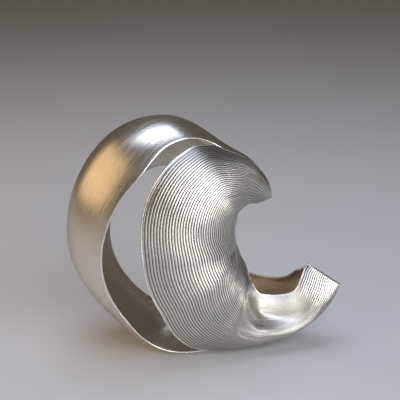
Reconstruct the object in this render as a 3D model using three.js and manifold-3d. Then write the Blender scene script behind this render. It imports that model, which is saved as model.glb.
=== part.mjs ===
// Abstract sculpture: a hollow silver crescent made of fine wires laid side by side and
// soldered. Seen end to end it is a bent pod, pinched flat at both tips. Two slits part its
// skin into two bands: the smooth ring band round the back and outside, and the wide ridged
// front band round the near and inner side. The bands meet again towards both tips.
// Millimetres, +Z up, the near side of the piece faces -Y. It stands on its underside.
import * as THREE from 'three';
import { mergeVertices } from 'three/addons/utils/BufferGeometryUtils.js';
import Module from 'manifold-3d';

// Driving dimensions
const SKIN = 2.4;            // thickness of the soldered wire skin
const LAP = 0.9;             // the ring band's wires lie this much under the front band's
const CENTRE = { x: 44.1, y: 2.89, z: 88.4 };   // middle of the crescent's mouth
const STEPS_PER_RIB = 5;     // facets along the wires between two ribs
const RING_FACETS = 10;      // facets across each band
const FRONT_FACETS = 18;
const SECTION_SAMPLES = 120; // samples used to space the facets evenly across a band

// Ribs of the pod, from the upper tip round the left side to the lower tip. Each rib is a
// flat section standing between an outer and an inner point. The turns are degrees round the
// mouth and the radii are taken from it. near and far are the half depths to -Y and +Y.
// ringFrom..ringTo and frontFrom..frontTo are the stretches of skin that each band covers,
// in degrees round the section: 0 is its outer point, 90 its near side, 180 its inner point.
// fullNear and fullFar say how square the section is (2 is an ellipse). tuck, dip and fold
// shape the crease where the front band turns from the ridged roll to the flat lower tip, and
// soft is half its width. fold and soft are shares of the band's width.
const RIBS = [
  // turnOut, ringOut, frontOut, turnIn, in, near, far, ringFrom, ringTo, frontFrom, frontTo,
  //   tuck, dip, fold, soft, fullNear, fullFar
  [80, 36, 36, 99, 31, 1.2, 1.2, -150, 14, 10, 180, 0, 0, 0.8, 0.15, 2.2, 2.2],
  [87, 49.5, 49.5, 110, 33, 9, 9, -150, 14, 10, 185, 0, 0, 0.8, 0.15, 2.2, 2.2],
  [99, 66.5, 66.5, 119, 32.5, 18, 18, -148, 14, 11, 190, 0, 0, 0.8, 0.15, 2.2, 2.2],
  [112, 84, 84, 129, 31, 28, 28, -143, 14, 18, 195, 0, 0, 0.8, 0.15, 2.2, 2.2],
  [127, 124, 119, 140, 27, 38, 38, -125, 45, 55, 205, 0, 0, 0.8, 0.15, 2.2, 2.2],
  [148, 147, 139, 161, 23, 46, 45, -84, 64, 73, 215, 0, 0, 0.8, 0.15, 2.2, 2.2],
  [180, 151.5, 139, 180, 21, 50, 49, -58, 59, 82, 225, 0, 0, 0.8, 0.15, 2.2, 2.2],
  [206, 133, 127, 202, 21, 48, 47, -46, 47, 79, 224, 0, 0, 0.85, 0.15, 2.4, 2.6],
  [228, 119.5, 113, 222, 23.5, 42, 43, -60, 35, 62, 214, 0, 0, 0.85, 0.15, 2.5, 3.6],
  [248, 95.5, 95.5, 243, 27.5, 33, 38, -100, 36, 34, 190, 2, 2, 0.8, 0.15, 2.8, 3.6],
  [270, 84, 85, 270, 33, 28, 29, -122, 26, 22, 126, 13, 3, 0.62, 0.15, 2.6, 3.0],
  [297, 80, 81, 299, 37.5, 20, 20, -140, 16, 10, 123, 8, 3, 0.45, 0.25, 2.2, 2.2],
  [316, 76.5, 77, 316, 38, 11, 11, -160, 11, 5, 134, 4, 0, 0.4, 0.4, 2.2, 2.2],
  [329, 73, 73, 331, 43, 1.2, 1.2, -175, 8, 2, 175, 0.5, 0, 0.4, 0.4, 2.2, 2.2],
];
const COLUMNS = ['turnOut', 'ringOut', 'frontOut', 'turnIn', 'in', 'near', 'far', 'ringFrom',
  'ringTo', 'frontFrom', 'frontTo', 'tuck', 'dip', 'fold', 'soft', 'fullNear', 'fullFar'];
const SMOOTH = new Set(['turnOut', 'ringOut', 'frontOut', 'turnIn', 'in']);

const radians = THREE.MathUtils.degToRad;

// Value of one rib column at place t along the crescent. The rails run as smooth curves, and
// the other columns never overshoot their ribs.
function column(name, t) {
  const c = COLUMNS.indexOf(name);
  const last = RIBS.length - 1;
  const k = Math.min(Math.floor(t), last - 1);
  const value = (i) => RIBS[i][c];
  const step = (i) => value(i + 1) - value(i);
  const slope = (i) => {
    if (i === 0) return step(0);
    if (i === last) return step(last - 1);
    const before = step(i - 1);
    const after = step(i);
    if (SMOOTH.has(name)) return (before + after) / 2;
    return before * after <= 0 ? 0 : (2 * before * after) / (before + after);
  };
  const f = t - k;
  return (2 * f ** 3 - 3 * f ** 2 + 1) * value(k) + (f ** 3 - 2 * f ** 2 + f) * slope(k)
    + (3 * f ** 2 - 2 * f ** 3) * value(k + 1) + (f ** 3 - f ** 2) * slope(k + 1);
}

// Point of a rail, at a turn and a radius round the mouth
function railPoint(turn, radius) {
  return new THREE.Vector2(CENTRE.x + radius * Math.cos(radians(turn)),
    CENTRE.z + radius * Math.sin(radians(turn)));
}

// One rib section: a function from degrees round the section and height above the middle of
// the skin to a point
function ribSection(t, outColumn) {
  const outer = railPoint(column('turnOut', t), column(outColumn, t));
  const inner = railPoint(column('turnIn', t), column('in', t));
  const middle = outer.clone().add(inner).multiplyScalar(0.5);
  const reach = outer.distanceTo(inner) / 2;
  const outward = outer.clone().sub(inner).normalize();
  const near = column('near', t);
  const far = column('far', t);
  const fullNear = column('fullNear', t);
  const fullFar = column('fullFar', t);
  return (degrees, height) => {
    const angle = radians(degrees);
    const power = 2 / (Math.sin(angle) > 0 ? fullNear : fullFar);
    const along = Math.sign(Math.cos(angle)) * Math.abs(Math.cos(angle)) ** power;
    const across = Math.sign(Math.sin(angle)) * Math.abs(Math.sin(angle)) ** power;
    const depth = (across > 0 ? near : far) + height;
    const place = middle.clone().addScaledVector(outward, (reach + height) * along);
    return new THREE.Vector3(place.x, CENTRE.y - depth * across, place.y);
  };
}

// Degrees round a section that share a band's width out evenly
function evenTurns(section, from, to, count) {
  const samples = [];
  let length = 0;
  let before = section(from, 0);
  for (let i = 0; i <= SECTION_SAMPLES; i += 1) {
    const degrees = from + ((to - from) * i) / SECTION_SAMPLES;
    const here = section(degrees, 0);
    length += here.distanceTo(before);
    samples.push({ degrees, length });
    before = here;
  }
  const turns = [];
  let i = 1;
  for (let j = 0; j <= count; j += 1) {
    const want = (length * j) / count;
    while (i < SECTION_SAMPLES && samples[i].length < want) i += 1;
    const a = samples[i - 1];
    const b = samples[i];
    turns.push(THREE.MathUtils.mapLinear(want, a.length, b.length, a.degrees, b.degrees));
  }
  return turns;
}

// Crease of the front band: past the fold the skin steps back and dips outwards
function crease(point, t, u) {
  const fold = column('fold', t);
  const soft = column('soft', t);
  const outer = railPoint(column('turnOut', t), column('frontOut', t));
  const inner = railPoint(column('turnIn', t), column('in', t));
  const outward = outer.sub(inner).normalize();
  const past = THREE.MathUtils.smoothstep(u, fold - soft, fold + soft);
  const dip = column('dip', t) * Math.exp(-(((u - fold - soft) / soft) ** 2));
  point.x += outward.x * dip;
  point.z += outward.y * dip;
  point.y += column('tuck', t) * past;
  return point;
}

// A band of skin as one closed body: an outer and an inner sheet, joined round their rim. Its
// lowest stretch is pressed flat at z = 0, and the piece stands on that.
function bandGeometry({ outColumn, from, to, facets, sunk, creased }) {
  const rows = (RIBS.length - 1) * STEPS_PER_RIB;
  const positions = [];
  const index = (side, row, col) => (side * (rows + 1) + row) * (facets + 1) + col;
  for (const side of [1, -1]) {
    for (let row = 0; row <= rows; row += 1) {
      const t = row / STEPS_PER_RIB;
      const section = ribSection(t, outColumn);
      const turns = evenTurns(section, column(from, t), column(to, t), facets);
      turns.forEach((degrees, col) => {
        const point = section(degrees, (side * SKIN) / 2 - sunk);
        if (creased) crease(point, t, col / facets);
        positions.push(point.x, point.y, Math.max(point.z, side === 1 ? 0 : SKIN));
      });
    }
  }
  const faces = [];
  const quad = (a, b, c, d) => faces.push(a, c, b, a, d, c);
  for (let row = 0; row < rows; row += 1) {
    for (let col = 0; col < facets; col += 1) {
      quad(index(0, row, col), index(0, row, col + 1),
        index(0, row + 1, col + 1), index(0, row + 1, col));
      quad(index(1, row, col), index(1, row + 1, col),
        index(1, row + 1, col + 1), index(1, row, col + 1));
    }
    quad(index(0, row, 0), index(0, row + 1, 0), index(1, row + 1, 0), index(1, row, 0));
    quad(index(0, row, facets), index(1, row, facets),
      index(1, row + 1, facets), index(0, row + 1, facets));
  }
  for (let col = 0; col < facets; col += 1) {
    quad(index(0, 0, col), index(1, 0, col), index(1, 0, col + 1), index(0, 0, col + 1));
    quad(index(0, rows, col), index(0, rows, col + 1),
      index(1, rows, col + 1), index(1, rows, col));
  }
  const geometry = new THREE.BufferGeometry();
  geometry.setAttribute('position', new THREE.Float32BufferAttribute(positions, 3));
  geometry.setIndex(faces);
  return geometry;
}

const wasm = await Module();
wasm.setup();

function toSolid(geometry) {
  const merged = mergeVertices(geometry, 1e-4);
  return new wasm.Manifold(new wasm.Mesh({
    numProp: 3,
    vertProperties: new Float32Array(merged.attributes.position.array),
    triVerts: new Uint32Array(merged.index.array),
  }));
}

function toGeometry(solid) {
  const mesh = solid.getMesh();
  const geometry = new THREE.BufferGeometry();
  geometry.setAttribute('position', new THREE.BufferAttribute(mesh.vertProperties, 3));
  geometry.setIndex(new THREE.BufferAttribute(mesh.triVerts, 1));
  geometry.computeVertexNormals();
  return geometry;
}

// The two bands are soldered into one piece
const ringBand = bandGeometry({
  outColumn: 'ringOut', from: 'ringFrom', to: 'ringTo', facets: RING_FACETS, sunk: LAP,
  creased: false,
});
const frontBand = bandGeometry({
  outColumn: 'frontOut', from: 'frontFrom', to: 'frontTo', facets: FRONT_FACETS, sunk: 0,
  creased: true,
});
const crescent = toGeometry(toSolid(ringBand).add(toSolid(frontBand)));

const silver = new THREE.MeshStandardMaterial({
  color: 0xd9d8d4, roughness: 0.25, metalness: 1.0,
});
const sculpture = new THREE.Mesh(crescent, silver);
sculpture.name = 'silver_wire_crescent';

const part = new THREE.Group();
part.name = 'abstract_silver_sculpture';
part.add(sculpture);

export default part;
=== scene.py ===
"""Abstract sculpture: a hollow crescent of silver wires soldered side by side.

The piece is a pod bent into a C and pinched flat at both ends. Two slits part its skin into a
ring band of fine wires and a broad front band of ridged wires.
"""
import math

import bpy
import numpy as np
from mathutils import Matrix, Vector


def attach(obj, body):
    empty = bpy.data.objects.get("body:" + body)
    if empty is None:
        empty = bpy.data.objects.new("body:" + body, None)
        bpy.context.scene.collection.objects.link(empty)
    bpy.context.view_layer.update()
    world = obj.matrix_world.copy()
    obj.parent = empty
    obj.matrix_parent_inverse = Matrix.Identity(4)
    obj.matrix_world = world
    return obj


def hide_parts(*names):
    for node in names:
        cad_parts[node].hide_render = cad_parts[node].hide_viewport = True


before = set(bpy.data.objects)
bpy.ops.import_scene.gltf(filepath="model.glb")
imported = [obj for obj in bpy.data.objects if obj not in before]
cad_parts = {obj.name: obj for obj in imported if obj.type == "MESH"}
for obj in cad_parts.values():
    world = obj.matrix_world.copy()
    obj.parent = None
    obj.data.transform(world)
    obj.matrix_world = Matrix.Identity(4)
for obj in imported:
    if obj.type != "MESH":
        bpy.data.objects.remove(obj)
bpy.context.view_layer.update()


# ---- Front band --------------------------------------------------------------------------
# The broad near side of the pod: round silver wires, laid side by side over a former and
# soldered. Groups of wires sit a little proud and leave steps, darkened with painted shade.
# At the lower end the band turns in a crease from the ridged roll to the flat, pinched tip.

SKIN_MM = 2.4                # height between the solid's two faces
CENTRE_MM = (44.1, 2.89, 88.4)   # middle of the crescent's mouth
WIRE_SKIN_MM = 1.5           # real thickness of one layer of wires with its solder

# Ribs of the pod, from the upper tip round the left side to the lower tip, in millimetres
# and degrees. Turns are round the mouth and radii from it. near and far are half depths to
# -Y and +Y. A band's from and to are degrees round the rib: 0 is its outer point, 90 its
# near side. fold is the crease's place as a share of the front band's width and soft its
# half width. dip is how far the skin is pressed out at the crease, and tuck how far it lies
# back beyond it. full says how square the rib is on each side (2 is an ellipse).
RIB_COLUMNS = ("turn_out", "ring_out", "front_out", "turn_in", "inner", "near", "far",
               "ring_from", "ring_to", "front_from", "front_to", "tuck", "dip", "fold",
               "soft", "full_near", "full_far")
RIBS = np.array([
    (80, 36, 36, 99, 31, 1.2, 1.2, -150, 14, 10, 180, 0, 0, 0.8, 0.15, 2.2, 2.2),
    (87, 49.5, 49.5, 110, 33, 9, 9, -150, 14, 10, 185, 0, 0, 0.8, 0.15, 2.2, 2.2),
    (99, 66.5, 66.5, 119, 32.5, 18, 18, -148, 14, 11, 190, 0, 0, 0.8, 0.15, 2.2, 2.2),
    (112, 84, 84, 129, 31, 28, 28, -143, 14, 18, 195, 0, 0, 0.8, 0.15, 2.2, 2.2),
    (127, 124, 119, 140, 27, 38, 38, -125, 45, 55, 205, 0, 0, 0.8, 0.15, 2.2, 2.2),
    (148, 147, 139, 161, 23, 46, 45, -84, 64, 73, 215, 0, 0, 0.8, 0.15, 2.2, 2.2),
    (180, 151.5, 139, 180, 21, 50, 49, -58, 59, 82, 225, 0, 0, 0.8, 0.15, 2.2, 2.2),
    (206, 133, 127, 202, 21, 48, 47, -46, 47, 79, 224, 0, 0, 0.85, 0.15, 2.4, 2.6),
    (228, 119.5, 113, 222, 23.5, 42, 43, -60, 35, 62, 214, 0, 0, 0.85, 0.15, 2.5, 3.6),
    (248, 95.5, 95.5, 243, 27.5, 33, 38, -100, 36, 34, 190, 2, 2, 0.8, 0.15, 2.8, 3.6),
    (270, 84, 85, 270, 33, 28, 29, -122, 26, 22, 126, 13, 3, 0.62, 0.15, 2.6, 3.0),
    (297, 80, 81, 299, 37.5, 20, 20, -140, 16, 10, 123, 8, 3, 0.45, 0.25, 2.2, 2.2),
    (316, 76.5, 77, 316, 38, 11, 11, -160, 11, 5, 134, 4, 0, 0.4, 0.4, 2.2, 2.2),
    (329, 73, 73, 331, 43, 1.2, 1.2, -175, 8, 2, 175, 0.5, 0, 0.4, 0.4, 2.2, 2.2),
])
RAIL_COLUMNS = {"turn_out", "ring_out", "front_out", "turn_in", "inner"}
LAST_RIB = len(RIBS) - 1
SECTION_SAMPLES = 241        # points that measure a rib's length along its skin


def rib_value(name, t):
    """A rib column at rib number t, smooth between ribs."""
    values = RIBS[:, RIB_COLUMNS.index(name)]
    step = np.diff(values)
    slope = np.empty(len(values))
    slope[0], slope[-1] = step[0], step[-1]
    before, after = step[:-1], step[1:]
    if name in RAIL_COLUMNS:
        slope[1:-1] = (before + after) / 2
    else:
        product = before * after
        total = np.where(before + after == 0, 1, before + after)
        slope[1:-1] = np.where(product > 0, 2 * product / total, 0)
    k = np.minimum(np.floor(t).astype(int), LAST_RIB - 1)
    f = t - k
    return ((2 * f**3 - 3 * f**2 + 1) * values[k] + (f**3 - 2 * f**2 + f) * slope[k]
            + (3 * f**2 - 2 * f**3) * values[k + 1] + (f**3 - f**2) * slope[k + 1])


def rail(t, turn, radius):
    """Points of a rail, in X and Z."""
    angle, reach = np.radians(rib_value(turn, t)), rib_value(radius, t)
    return np.stack([CENTRE_MM[0] + reach * np.cos(angle),
                     CENTRE_MM[2] + reach * np.sin(angle)], -1)


def smooth_step(x):
    x = np.clip(x, 0, 1)
    return x * x * (3 - 2 * x)


def ramp(x, start, end):
    """0 before start, 1 after end, and smooth between them."""
    return smooth_step((x - start) / (end - start))


def rib_points(t, out_rail, degrees, height):
    """Points on the pod's skin: rows of t, at degrees round the rib and height above it."""
    outer, inner = rail(t, "turn_out", out_rail), rail(t, "turn_in", "inner")
    middle = ((outer + inner) / 2)[:, None, :]
    across = (outer - inner)[:, None, :]
    reach = np.linalg.norm(across, axis=-1) / 2
    outward = across / (2 * reach[..., None])
    angle = np.radians(degrees)
    is_near = np.sin(angle) > 0
    full = np.where(is_near, rib_value("full_near", t)[:, None],
                    rib_value("full_far", t)[:, None])
    along = np.sign(np.cos(angle)) * np.abs(np.cos(angle)) ** (2 / full)
    aside = np.sign(np.sin(angle)) * np.abs(np.sin(angle)) ** (2 / full)
    depth = np.where(is_near, rib_value("near", t)[:, None],
                     rib_value("far", t)[:, None]) + height
    flat = middle + outward * ((reach + height) * along)[..., None]
    return np.stack([flat[..., 0], CENTRE_MM[1] - depth * aside, flat[..., 1]], -1)


def even_degrees(t, out_rail, start, end, shares):
    """Degrees round each rib that share a band's width out by the given shares."""
    sample = np.linspace(0, 1, SECTION_SAMPLES)
    first, last = rib_value(start, t)[:, None], rib_value(end, t)[:, None]
    degrees = first + (last - first) * sample
    points = rib_points(t, out_rail, degrees, 0.0)
    length = np.cumsum(np.linalg.norm(np.diff(points, axis=1), axis=-1), axis=1)
    length = np.concatenate([np.zeros((len(t), 1)), length], axis=1)
    return np.stack([np.interp(shares * row[-1], row, turn)
                     for row, turn in zip(length, degrees)])


def sheet_points(t, band, shares, height, floor):
    """One face of a band, in millimetres, pressed flat where it would pass under floor."""
    degrees = even_degrees(t, band["out"], band["from"], band["to"], shares)
    points = rib_points(t, band["out"], degrees, height)
    if band["creased"]:
        outward = rail(t, "turn_out", band["out"]) - rail(t, "turn_in", "inner")
        outward /= np.linalg.norm(outward, axis=-1, keepdims=True)
        past = shares[None, :] - rib_value("fold", t)[:, None]
        soft = rib_value("soft", t)[:, None]
        dip = rib_value("dip", t)[:, None] * np.exp(-((past - soft) / soft) ** 2)
        points[..., 0] += outward[:, :1] * dip
        points[..., 2] += outward[:, 1:] * dip
        points[..., 1] += rib_value("tuck", t)[:, None] * ramp(past, -soft, soft)
    points[..., 2] = np.maximum(points[..., 2], floor)
    return points


def slow_waves(rng, count, along, wavelengths):
    """For each of count wires, a smooth wander along its length, from about -1 to 1."""
    total = np.zeros((len(along), count))
    for wavelength in wavelengths:
        phase = rng.uniform(0, 2 * math.pi, count)
        stretch = rng.uniform(0.8, 1.25, count)
        total += np.sin(2 * math.pi * along[:, None] / wavelength * stretch + phase)
    return total / len(wavelengths)


def round_rim(face, back, beside, steps):
    """The half-round rim that joins a band's face to its back, along one edge."""
    middle, thick = (face + back) / 2, (face - back) / 2
    radius = np.linalg.norm(thick, axis=-1, keepdims=True)
    up = thick / radius
    out = face - beside
    out -= (out * up).sum(-1, keepdims=True) * up
    out /= np.linalg.norm(out, axis=-1, keepdims=True)
    turns = np.linspace(0, math.pi, steps + 2)[1:-1]
    return np.stack([middle + radius * (math.cos(a) * up + math.sin(a) * out)
                     for a in turns], axis=1)


def zip_faces(a_ids, a_shares, b_ids, b_shares):
    """Triangles between two lines of points that run side by side."""
    faces, i, j = [], 0, 0
    while i < len(a_ids) - 1 or j < len(b_ids) - 1:
        step_a = j == len(b_ids) - 1 or (i < len(a_ids) - 1
                                         and a_shares[i + 1] <= b_shares[j + 1])
        if step_a:
            faces.append((a_ids[i], a_ids[i + 1], b_ids[j]))
            i += 1
        else:
            faces.append((a_ids[i], b_ids[j + 1], b_ids[j]))
            j += 1
    return faces


def band_object(name, face, face_shares, back, back_shares, along, groove):
    """A band as one closed mesh: its face, its back, half-round rims and cut ends."""
    rim_steps = 3
    beside = 6                # columns in from the edge, which give the rim's direction
    right = round_rim(face[:, -1], back[:, -1], face[:, -1 - beside], rim_steps)
    left = round_rim(face[:, 0], back[:, 0], face[:, beside], rim_steps)[:, ::-1]
    loop = np.concatenate([face, right, back[:, ::-1], left], axis=1)
    share = np.concatenate([face_shares, np.full(rim_steps, face_shares[-1]),
                            back_shares[::-1], np.full(rim_steps, face_shares[0])])
    # painted shade in the grooves of the face; rims and back get none
    dark = np.concatenate([groove, np.zeros((len(loop), loop.shape[1] - face.shape[1]))],
                          axis=1)
    rows, wide = loop.shape[:2]
    ids = np.arange(rows * wide).reshape(rows, wide)
    after = np.roll(ids, -1, axis=1)
    quads = np.stack([ids[:-1], after[:-1], after[1:], ids[1:]], -1).reshape(-1, 4)
    faces = [tuple(int(v) for v in q) for q in quads]
    n = face.shape[1]
    back_ids = ids[:, n + rim_steps:n + rim_steps + back.shape[1]][:, ::-1]
    for row, flip in ((0, True), (rows - 1, False)):
        cap = zip_faces(ids[row, :n], face_shares, back_ids[row], back_shares)
        for edge, rim in ((n - 1, ids[row, n:n + rim_steps]),
                          (0, ids[row, n + rim_steps + back.shape[1]:])):
            ring = [ids[row, edge], *rim] if edge else [*rim, ids[row, 0]]
            other = back_ids[row, -1] if edge else back_ids[row, 0]
            cap += [(a, b, other) for a, b in zip(ring[:-1], ring[1:])]
        faces += [tuple(int(v) for v in (f[::-1] if flip else f)) for f in cap]
    mesh = bpy.data.meshes.new(name)
    mesh.from_pydata((loop.reshape(-1, 3) / 1000).tolist(), [], faces)
    mesh.validate()
    layer = mesh.uv_layers.new(name="wires")
    loop_vertex = np.empty(len(mesh.loops), int)
    mesh.loops.foreach_get("vertex_index", loop_vertex)
    uv = np.stack([share[loop_vertex % wide], along[loop_vertex // wide] / 1000], -1)
    layer.data.foreach_set("uv", uv.astype(np.float32).ravel())
    mark = mesh.attributes.new("groove", "FLOAT", "POINT")
    mark.data.foreach_set("value", dark.ravel().astype(np.float32))
    mesh.shade_smooth()
    made = bpy.data.objects.new(name, mesh)
    bpy.context.scene.collection.objects.link(made)
    return made


FRONT = {"out": "front_out", "from": "front_from", "to": "front_to", "creased": True}
FRONT_WIRES = 60             # drawn coarser than the real wires, which would be too fine to show
FRONT_ROWS = 216
WIRE_CUTS = (0.0, 0.16, 0.38, 0.62, 0.84)    # where a wire's round top is cut into facets
GROOVE_MM = 0.36             # depth of the groove between two wires
PROUD_MM = 0.22              # how much single wires wander up and down
WANDER_WAVES_MM = (70, 31, 17)
STEP_MM = 0.75               # height of a step between two groups of wires
WIRES_PER_STEP = 4           # on average
STEP_LEAN = (-0.5, 1.0)      # a group leans to one side or the other by this share of a step
SINK_MM = 0.35               # the wires lie this far inside the faceted solid's face
BACK_CUTS = 97
BACK_WIRES = 48
BACK_BUMP_MM = 0.12
BACK_SPARE_MM = 0.3          # the ridged wires are this much thicker than the ring's

# Where things change along the band, by rib number
UPPER_TIP_CROWDED = (0.8, 2.2)
STEPS_GROW, STEPS_END = (5.5, 8.5), (10.0, 11.5)
FLAT_STARTS = (9.3, 10.5)
LOWER_TIP_CROWDED = (10.9, 11.9)
UPPER_TIP_FADE, LOWER_TIP_FADE = 1.5, 0.9    # lengths, in ribs, over which relief dies out

front_t = np.linspace(0, LAST_RIB, FRONT_ROWS)
front_shares = np.append(
    (np.arange(FRONT_WIRES)[:, None] + np.array(WIRE_CUTS)).ravel(), FRONT_WIRES
) / FRONT_WIRES
NO_FLOOR = -99.0
front_spine = sheet_points(front_t, FRONT, np.array([0.4, 0.5]), 0.0, NO_FLOOR)[:, 0]
front_along = np.concatenate(
    [[0], np.cumsum(np.linalg.norm(np.diff(front_spine, axis=0), axis=-1))])

front_rng = np.random.RandomState(11)
place = front_shares * FRONT_WIRES
wire = np.minimum(np.floor(place).astype(int), FRONT_WIRES - 1)
crown = np.sqrt(np.clip(1 - (2 * (place - wire) - 1) ** 2, 0, 1))
# Towards the tips the wires crowd together, so only every third groove stays open there
crown_of_three = np.sqrt(1 - (2 * np.mod(place / 3, 1) - 1) ** 2)
wander = 0.5 + 0.5 * slow_waves(front_rng, FRONT_WIRES, front_along, WANDER_WAVES_MM)[:, wire]

# Groups of wires, and how far each wire of a group lies below its highest one
step_ends = np.cumsum(front_rng.randint(WIRES_PER_STEP - 1, WIRES_PER_STEP + 2, FRONT_WIRES))
group = np.searchsorted(step_ends, np.arange(FRONT_WIRES), side="right")
group_first = np.concatenate([[0], step_ends])[group]
group_size = np.diff(np.concatenate([[0], step_ends]))[group]
in_group = (np.arange(FRONT_WIRES) - group_first) / np.maximum(group_size - 1, 1)
lean = front_rng.uniform(*STEP_LEAN, FRONT_WIRES)[group]
group_sink = np.where(lean > 0, lean * in_group, -lean * (1 - in_group))[wire]

# The steps are deepest low on the roll, from its middle to its inner side, and die out on
# the flat lower tip
rib_at, share_at = front_t[:, None], front_shares[None, :]
past_fold = share_at - rib_value("fold", front_t)[:, None]
on_roll = (ramp(rib_at, *STEPS_GROW) * (1 - ramp(rib_at, *STEPS_END))
           * ramp(share_at, 0.15, 0.45))
on_flat = ramp(rib_at, *FLAT_STARTS) * ramp(past_fold, -0.1, 0.1)
near_tip = ramp(rib_at, *LOWER_TIP_CROWDED)
crowded = np.maximum(near_tip, 1 - ramp(rib_at, *UPPER_TIP_CROWDED))
tip_fade = (smooth_step(rib_at / UPPER_TIP_FADE)
            * smooth_step((LAST_RIB - rib_at) / LOWER_TIP_FADE))
step_strength = (0.15 + 0.85 * on_roll) * (1 - 0.9 * on_flat)
groove_strength = ((0.8 + 0.2 * ramp(share_at, 0.3, 0.55))
                   * (1 - 0.8 * on_flat * (1 - near_tip)))
groove_open = (1 - crowded) * (1 - crown) + crowded * (1 - crown_of_three)
relief = (GROOVE_MM * groove_strength * (0.35 + 0.65 * tip_fade) * groove_open
          + PROUD_MM * wander * tip_fade * (1 - 0.8 * on_flat)
          + STEP_MM * step_strength * tip_fade * group_sink)
face_top = SKIN_MM / 2 - SINK_MM
front_face = sheet_points(front_t, FRONT, front_shares, face_top - relief, 0.0)
back_shares = np.linspace(0, 1, BACK_CUTS)
back_bumps = BACK_BUMP_MM * np.abs(np.sin(math.pi * back_shares * BACK_WIRES))
front_back = sheet_points(front_t, FRONT, back_shares,
                          face_top - WIRE_SKIN_MM - BACK_SPARE_MM + back_bumps, WIRE_SKIN_MM)

# Painted shade lies in the grooves between the wires, and is darkest in the steps of the roll
GROOVE_SHADE, STEP_SHADE = 2.8, 0.9
step_line = np.isin(place, group_first)[None, :] * 1.0
front_groove_shade = np.clip(GROOVE_SHADE * groove_open * groove_strength
                       + STEP_SHADE * on_roll * step_line * (1 - on_flat), 0, 1)
# the groove attribute carries this painted shade into the material
front_band = band_object("front_band_wires", front_face, front_shares, front_back,
                         back_shares, front_along, front_groove_shade)


def linear(hex_colour):
    """An sRGB hex colour as the linear values that a shader takes."""
    parts = [int(hex_colour[i:i + 2], 16) / 255 for i in (1, 3, 5)]
    return tuple(c / 12.92 if c <= 0.04045 else ((c + 0.055) / 1.055) ** 2.4
                 for c in parts) + (1.0,)


def node(tree, kind, inputs=None, **settings):
    """Adds one node, with its settings, and its inputs as values or as links."""
    made = tree.nodes.new(kind)
    for key, value in settings.items():
        setattr(made, key, value)
    for key, value in (inputs or {}).items():
        if isinstance(value, bpy.types.NodeSocket):
            tree.links.new(value, made.inputs[key])
        else:
            made.inputs[key].default_value = value
    return made


# Fine silver wire, drawn through a die: bright, with hair lines along its length that blur
# a reflection. The grooves between the wires are darkened with painted shade.
def drawn_silver(name, wires, bright, tarnish_and_shade, smooth_roughness, rough_roughness, line_bump):
    made = bpy.data.materials.new(name)
    made.use_nodes = True
    tree = made.node_tree
    tree.nodes.clear()
    place_on = node(tree, "ShaderNodeUVMap", uv_map="wires")
    # across: one cell a wire; along: streaks about 30 mm long
    stretched = node(tree, "ShaderNodeMapping",
                     {"Vector": place_on.outputs["UV"], "Scale": (wires, 33.0, 1.0)})
    streak = node(tree, "ShaderNodeTexNoise",
                  {"Vector": stretched.outputs["Vector"], "Scale": 1.0, "Detail": 3.0,
                   "Roughness": 0.6})
    # hair lines of the drawing die, about 0.25 mm apart and 60 mm long
    hair = node(tree, "ShaderNodeMapping",
                {"Vector": place_on.outputs["UV"], "Scale": (wires * 6.0, 16.0, 1.0)})
    hairs = node(tree, "ShaderNodeTexNoise",
                 {"Vector": hair.outputs["Vector"], "Scale": 1.0, "Detail": 2.0})
    # broad clouds of handling and tarnish, about 50 mm across
    cloud = node(tree, "ShaderNodeTexNoise",
                 {"Vector": node(tree, "ShaderNodeTexCoord").outputs["Object"],
                  "Scale": 20.0, "Detail": 3.0})
    roughness = node(tree, "ShaderNodeMapRange",
                     {"Value": streak.outputs["Fac"], "From Min": 0.3, "From Max": 0.7,
                      "To Min": smooth_roughness, "To Max": rough_roughness})
    # the groove attribute is painted shade between the wires; the clouds below are tarnish
    groove = node(tree, "ShaderNodeAttribute", attribute_name="groove")
    cloudy = node(tree, "ShaderNodeMapRange",
                  {"Value": cloud.outputs["Fac"], "From Min": 0.35, "From Max": 0.7,
                   "To Min": 0.0, "To Max": 0.35})
    # the dark colour comes from painted shade in the grooves and from tarnish in the clouds
    shade_and_tarnish_mask = node(tree, "ShaderNodeMath",
                {0: groove.outputs["Fac"], 1: cloudy.outputs["Result"]},
                operation="MAXIMUM")
    colour = node(tree, "ShaderNodeMix", {"Factor": shade_and_tarnish_mask.outputs["Value"]},
                  data_type="RGBA")
    colour.inputs["A"].default_value = linear(bright)
    colour.inputs["B"].default_value = linear(tarnish_and_shade)
    bump = node(tree, "ShaderNodeBump",
                {"Height": hairs.outputs["Fac"], "Strength": line_bump,
                 "Distance": 0.0001})
    metal = node(tree, "ShaderNodeBsdfPrincipled",
                 {"Base Color": colour.outputs["Result"], "Metallic": 1.0,
                  "Roughness": roughness.outputs["Result"],
                  "Normal": bump.outputs["Normal"]})
    node(tree, "ShaderNodeOutputMaterial", {"Surface": metal.outputs["BSDF"]})
    return made


ridged_silver = drawn_silver("ridged_drawn_silver", FRONT_WIRES, "#f1ece3", "#1c1915",
                             0.26, 0.42, 0.4)
front_band.data.materials.append(ridged_silver)
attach(front_band, "root")
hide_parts("silver_wire_crescent")


# ---- Ring band ---------------------------------------------------------------------------
# The outer side and back of the pod: finer wires, about 1 mm, filed and rubbed smooth, so
# they read as a satin sheet with faint lines. It meets the front band only near both tips.

RING = {"out": "ring_out", "from": "ring_from", "to": "ring_to", "creased": False}
LAP_MM = 0.9                 # the ring band lies this much under the front band
RING_WIRES = 100
RING_ROWS = 216
RING_GROOVE_MM = 0.10
RING_WANDER_MM = 0.10
RING_WAVES_MM = (90, 45)
RING_BACK_CUTS = 101
RING_GROOVE_SHADE = 0.25          # painted shade in the fine grooves between the wires, from 0 to 1

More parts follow.
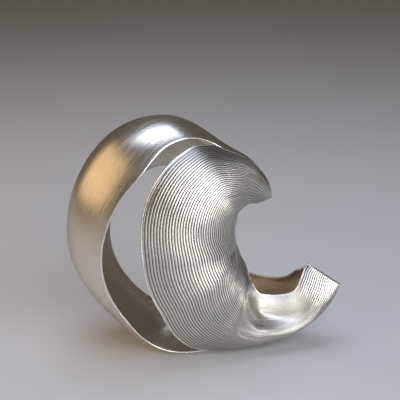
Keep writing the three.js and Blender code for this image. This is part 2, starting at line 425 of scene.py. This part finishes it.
ring_t = np.linspace(0, LAST_RIB, RING_ROWS)
ring_shares = np.linspace(0, 1, 2 * RING_WIRES + 1)
ring_spine = sheet_points(ring_t, RING, np.array([0.5, 0.6]), 0.0, NO_FLOOR)[:, 0]
ring_along = np.concatenate(
    [[0], np.cumsum(np.linalg.norm(np.diff(ring_spine, axis=0), axis=-1))])
ring_rng = np.random.RandomState(5)
ring_wire = np.minimum((ring_shares * RING_WIRES).astype(int), RING_WIRES - 1)
ring_wander = 0.5 + 0.5 * slow_waves(ring_rng, RING_WIRES, ring_along,
                                     RING_WAVES_MM)[:, ring_wire]
ring_low = (np.arange(len(ring_shares)) % 2 == 0).astype(float)[None, :]
ring_relief = RING_GROOVE_MM * ring_low + RING_WANDER_MM * ring_wander
ring_top = SKIN_MM / 2 - LAP_MM
ring_face = sheet_points(ring_t, RING, ring_shares, ring_top - SINK_MM - ring_relief, 0.0)
ring_back_shares = np.linspace(0, 1, RING_BACK_CUTS)
ring_back = sheet_points(ring_t, RING, ring_back_shares,
                         ring_top - SINK_MM - WIRE_SKIN_MM, WIRE_SKIN_MM)
# painted shade along every fine groove of the ring band
ring_groove_shade = np.repeat(RING_GROOVE_SHADE * ring_low, RING_ROWS, axis=0)
ring_band = band_object("ring_band_wires", ring_face, ring_shares, ring_back,
                        ring_back_shares, ring_along, ring_groove_shade)
satin_silver = drawn_silver("satin_drawn_silver", RING_WIRES, "#f0ebe2", "#a3937f",
                            0.24, 0.38, 0.35)
ring_band.data.materials.append(satin_silver)
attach(ring_band, "root")
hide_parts("silver_wire_crescent")


# ---- Edge wires --------------------------------------------------------------------------
# One round wire, polished bright by handling, closes each long edge of the two bands.

EDGE_WIRE_MM = 1.5
EDGE_SIDES = 10


def edge_wire(name, t, band, share, height):
    """A round wire along one edge of a band."""
    line = sheet_points(t, band, np.array([share, abs(share - 0.02)]), height,
                        EDGE_WIRE_MM / 2)
    middle, aside = line[:, 0], line[:, 1] - line[:, 0]
    along = np.gradient(middle, axis=0)
    along /= np.linalg.norm(along, axis=-1, keepdims=True)
    aside -= (aside * along).sum(-1, keepdims=True) * along
    aside /= np.linalg.norm(aside, axis=-1, keepdims=True)
    up = np.cross(along, aside)
    turns = np.arange(EDGE_SIDES) * 2 * math.pi / EDGE_SIDES
    tube = np.stack([middle + EDGE_WIRE_MM / 2 * (math.cos(a) * aside + math.sin(a) * up)
                     for a in turns], axis=1)
    rows = len(t)
    ids = np.arange(rows * EDGE_SIDES).reshape(rows, EDGE_SIDES)
    after = np.roll(ids, -1, axis=1)
    quads = np.stack([ids[:-1], ids[1:], after[1:], after[:-1]], -1).reshape(-1, 4)
    faces = [tuple(int(v) for v in q) for q in quads]
    faces += [tuple(int(v) for v in ids[0]), tuple(int(v) for v in ids[-1][::-1])]
    mesh = bpy.data.meshes.new(name)
    mesh.from_pydata((tube.reshape(-1, 3) / 1000).tolist(), [], faces)
    mesh.shade_smooth()
    made = bpy.data.objects.new(name, mesh)
    bpy.context.scene.collection.objects.link(made)
    return made


# Bright drawn silver, burnished: a nearly mirror-like thin line
bright_silver = bpy.data.materials.new("burnished_silver_edge")
bright_silver.use_nodes = True
edge_tree = bright_silver.node_tree
edge_tree.nodes.clear()
edge_noise = node(edge_tree, "ShaderNodeTexNoise",
                  {"Vector": node(edge_tree, "ShaderNodeTexCoord").outputs["Object"],
                   "Scale": 300.0, "Detail": 2.0})
edge_rough = node(edge_tree, "ShaderNodeMapRange",
                  {"Value": edge_noise.outputs["Fac"], "To Min": 0.22, "To Max": 0.34})
edge_metal = node(edge_tree, "ShaderNodeBsdfPrincipled",
                  {"Base Color": linear("#f7f5f1"), "Metallic": 1.0,
                   "Roughness": edge_rough.outputs["Result"]})
node(edge_tree, "ShaderNodeOutputMaterial", {"Surface": edge_metal.outputs["BSDF"]})

for edge_name, edge_band, edge_share, edge_height in (
        ("ring_near_edge_wire", RING, 1.0, ring_top - SINK_MM - WIRE_SKIN_MM / 2),
        ("ring_far_edge_wire", RING, 0.0, ring_top - SINK_MM - WIRE_SKIN_MM / 2),
        ("front_outer_edge_wire", FRONT, 0.0, SKIN_MM / 2 - EDGE_WIRE_MM / 2 - SINK_MM),
        ("front_inner_edge_wire", FRONT, 1.0, SKIN_MM / 2 - EDGE_WIRE_MM / 2 - SINK_MM)):
    wire_piece = edge_wire(edge_name, ring_t[1:-1], edge_band, edge_share, edge_height)
    wire_piece.data.materials.append(bright_silver)
    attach(wire_piece, "root")


# ---- Floor, light and camera ----------------------------------------------------------------
# A plain pale studio floor. Cool soft boxes light the right side and the top, a low one the
# lower tip, and a warm card the left side. The camera stands a little above the piece.

FLOOR_REACH = 6.0
floor_mesh = bpy.data.meshes.new("floor")
corners = [(-FLOOR_REACH, -FLOOR_REACH, 0), (FLOOR_REACH, -FLOOR_REACH, 0),
           (FLOOR_REACH, FLOOR_REACH, 0), (-FLOOR_REACH, FLOOR_REACH, 0)]
floor_mesh.from_pydata(corners, [], [(0, 1, 2, 3)])
floor = bpy.data.objects.new("floor", floor_mesh)
bpy.context.scene.collection.objects.link(floor)
floor_paint = bpy.data.materials.new("matt_floor_paint")
floor_paint.use_nodes = True
floor_shader = floor_paint.node_tree.nodes["Principled BSDF"]
floor_shader.inputs["Base Color"].default_value = linear("#dddcd9")
floor_shader.inputs["Roughness"].default_value = 0.7
floor_mesh.materials.append(floor_paint)

world = bpy.data.worlds.new("studio")
world.use_nodes = True
world.node_tree.nodes["Background"].inputs["Color"].default_value = linear("#c2b5a2")
world.node_tree.nodes["Background"].inputs["Strength"].default_value = 0.18
bpy.context.scene.world = world
bpy.context.scene.view_settings.view_transform = "Standard"


def soft_box(name, place, aim, size, brightness, colour):
    """A soft box: a large area light that looks at a point. Brightness 1 reflects as white."""
    light = bpy.data.lights.new(name, "AREA")
    light.shape = "RECTANGLE"
    light.size, light.size_y = size
    light.energy = brightness * math.pi * size[0] * size[1]
    light.color = linear(colour)[:3]
    lamp = bpy.data.objects.new(name, light)
    lamp.location = place
    lamp.rotation_euler = (Vector(aim) - Vector(place)).to_track_quat("-Z", "Y").to_euler()
    bpy.context.scene.collection.objects.link(lamp)


middle_of_piece = (0.0, 0.0, 0.09)
soft_box("right_box", (0.55, -0.75, 0.85), middle_of_piece, (1.2, 0.6), 2.6, "#d8e5ff")
soft_box("low_box", (0.62, -0.75, 0.16), middle_of_piece, (0.8, 0.3), 6.5, "#ffffff")
soft_box("top_box", (-0.1, 0.1, 1.1), middle_of_piece, (0.9, 0.6), 2.8, "#d8e5ff")
soft_box("warm_card", (-0.95, -0.1, 0.5), middle_of_piece, (1.4, 0.7), 1.2, "#f3cf9e")

CAMERA_TILT = math.radians(20)
CAMERA_REACH = 0.727
aim = Vector((CENTRE_MM[0] - 48.5, CENTRE_MM[1], CENTRE_MM[2] + 33)) / 1000
camera = bpy.data.cameras.new("camera")
camera.lens = 85.05
camera.sensor_width = 36
viewer = bpy.data.objects.new("camera", camera)
viewer.location = aim + CAMERA_REACH * Vector((0, -math.cos(CAMERA_TILT),
                                               math.sin(CAMERA_TILT)))
viewer.rotation_euler = (math.pi / 2 - CAMERA_TILT, 0, 0)
bpy.context.scene.collection.objects.link(viewer)
bpy.context.scene.camera = viewer
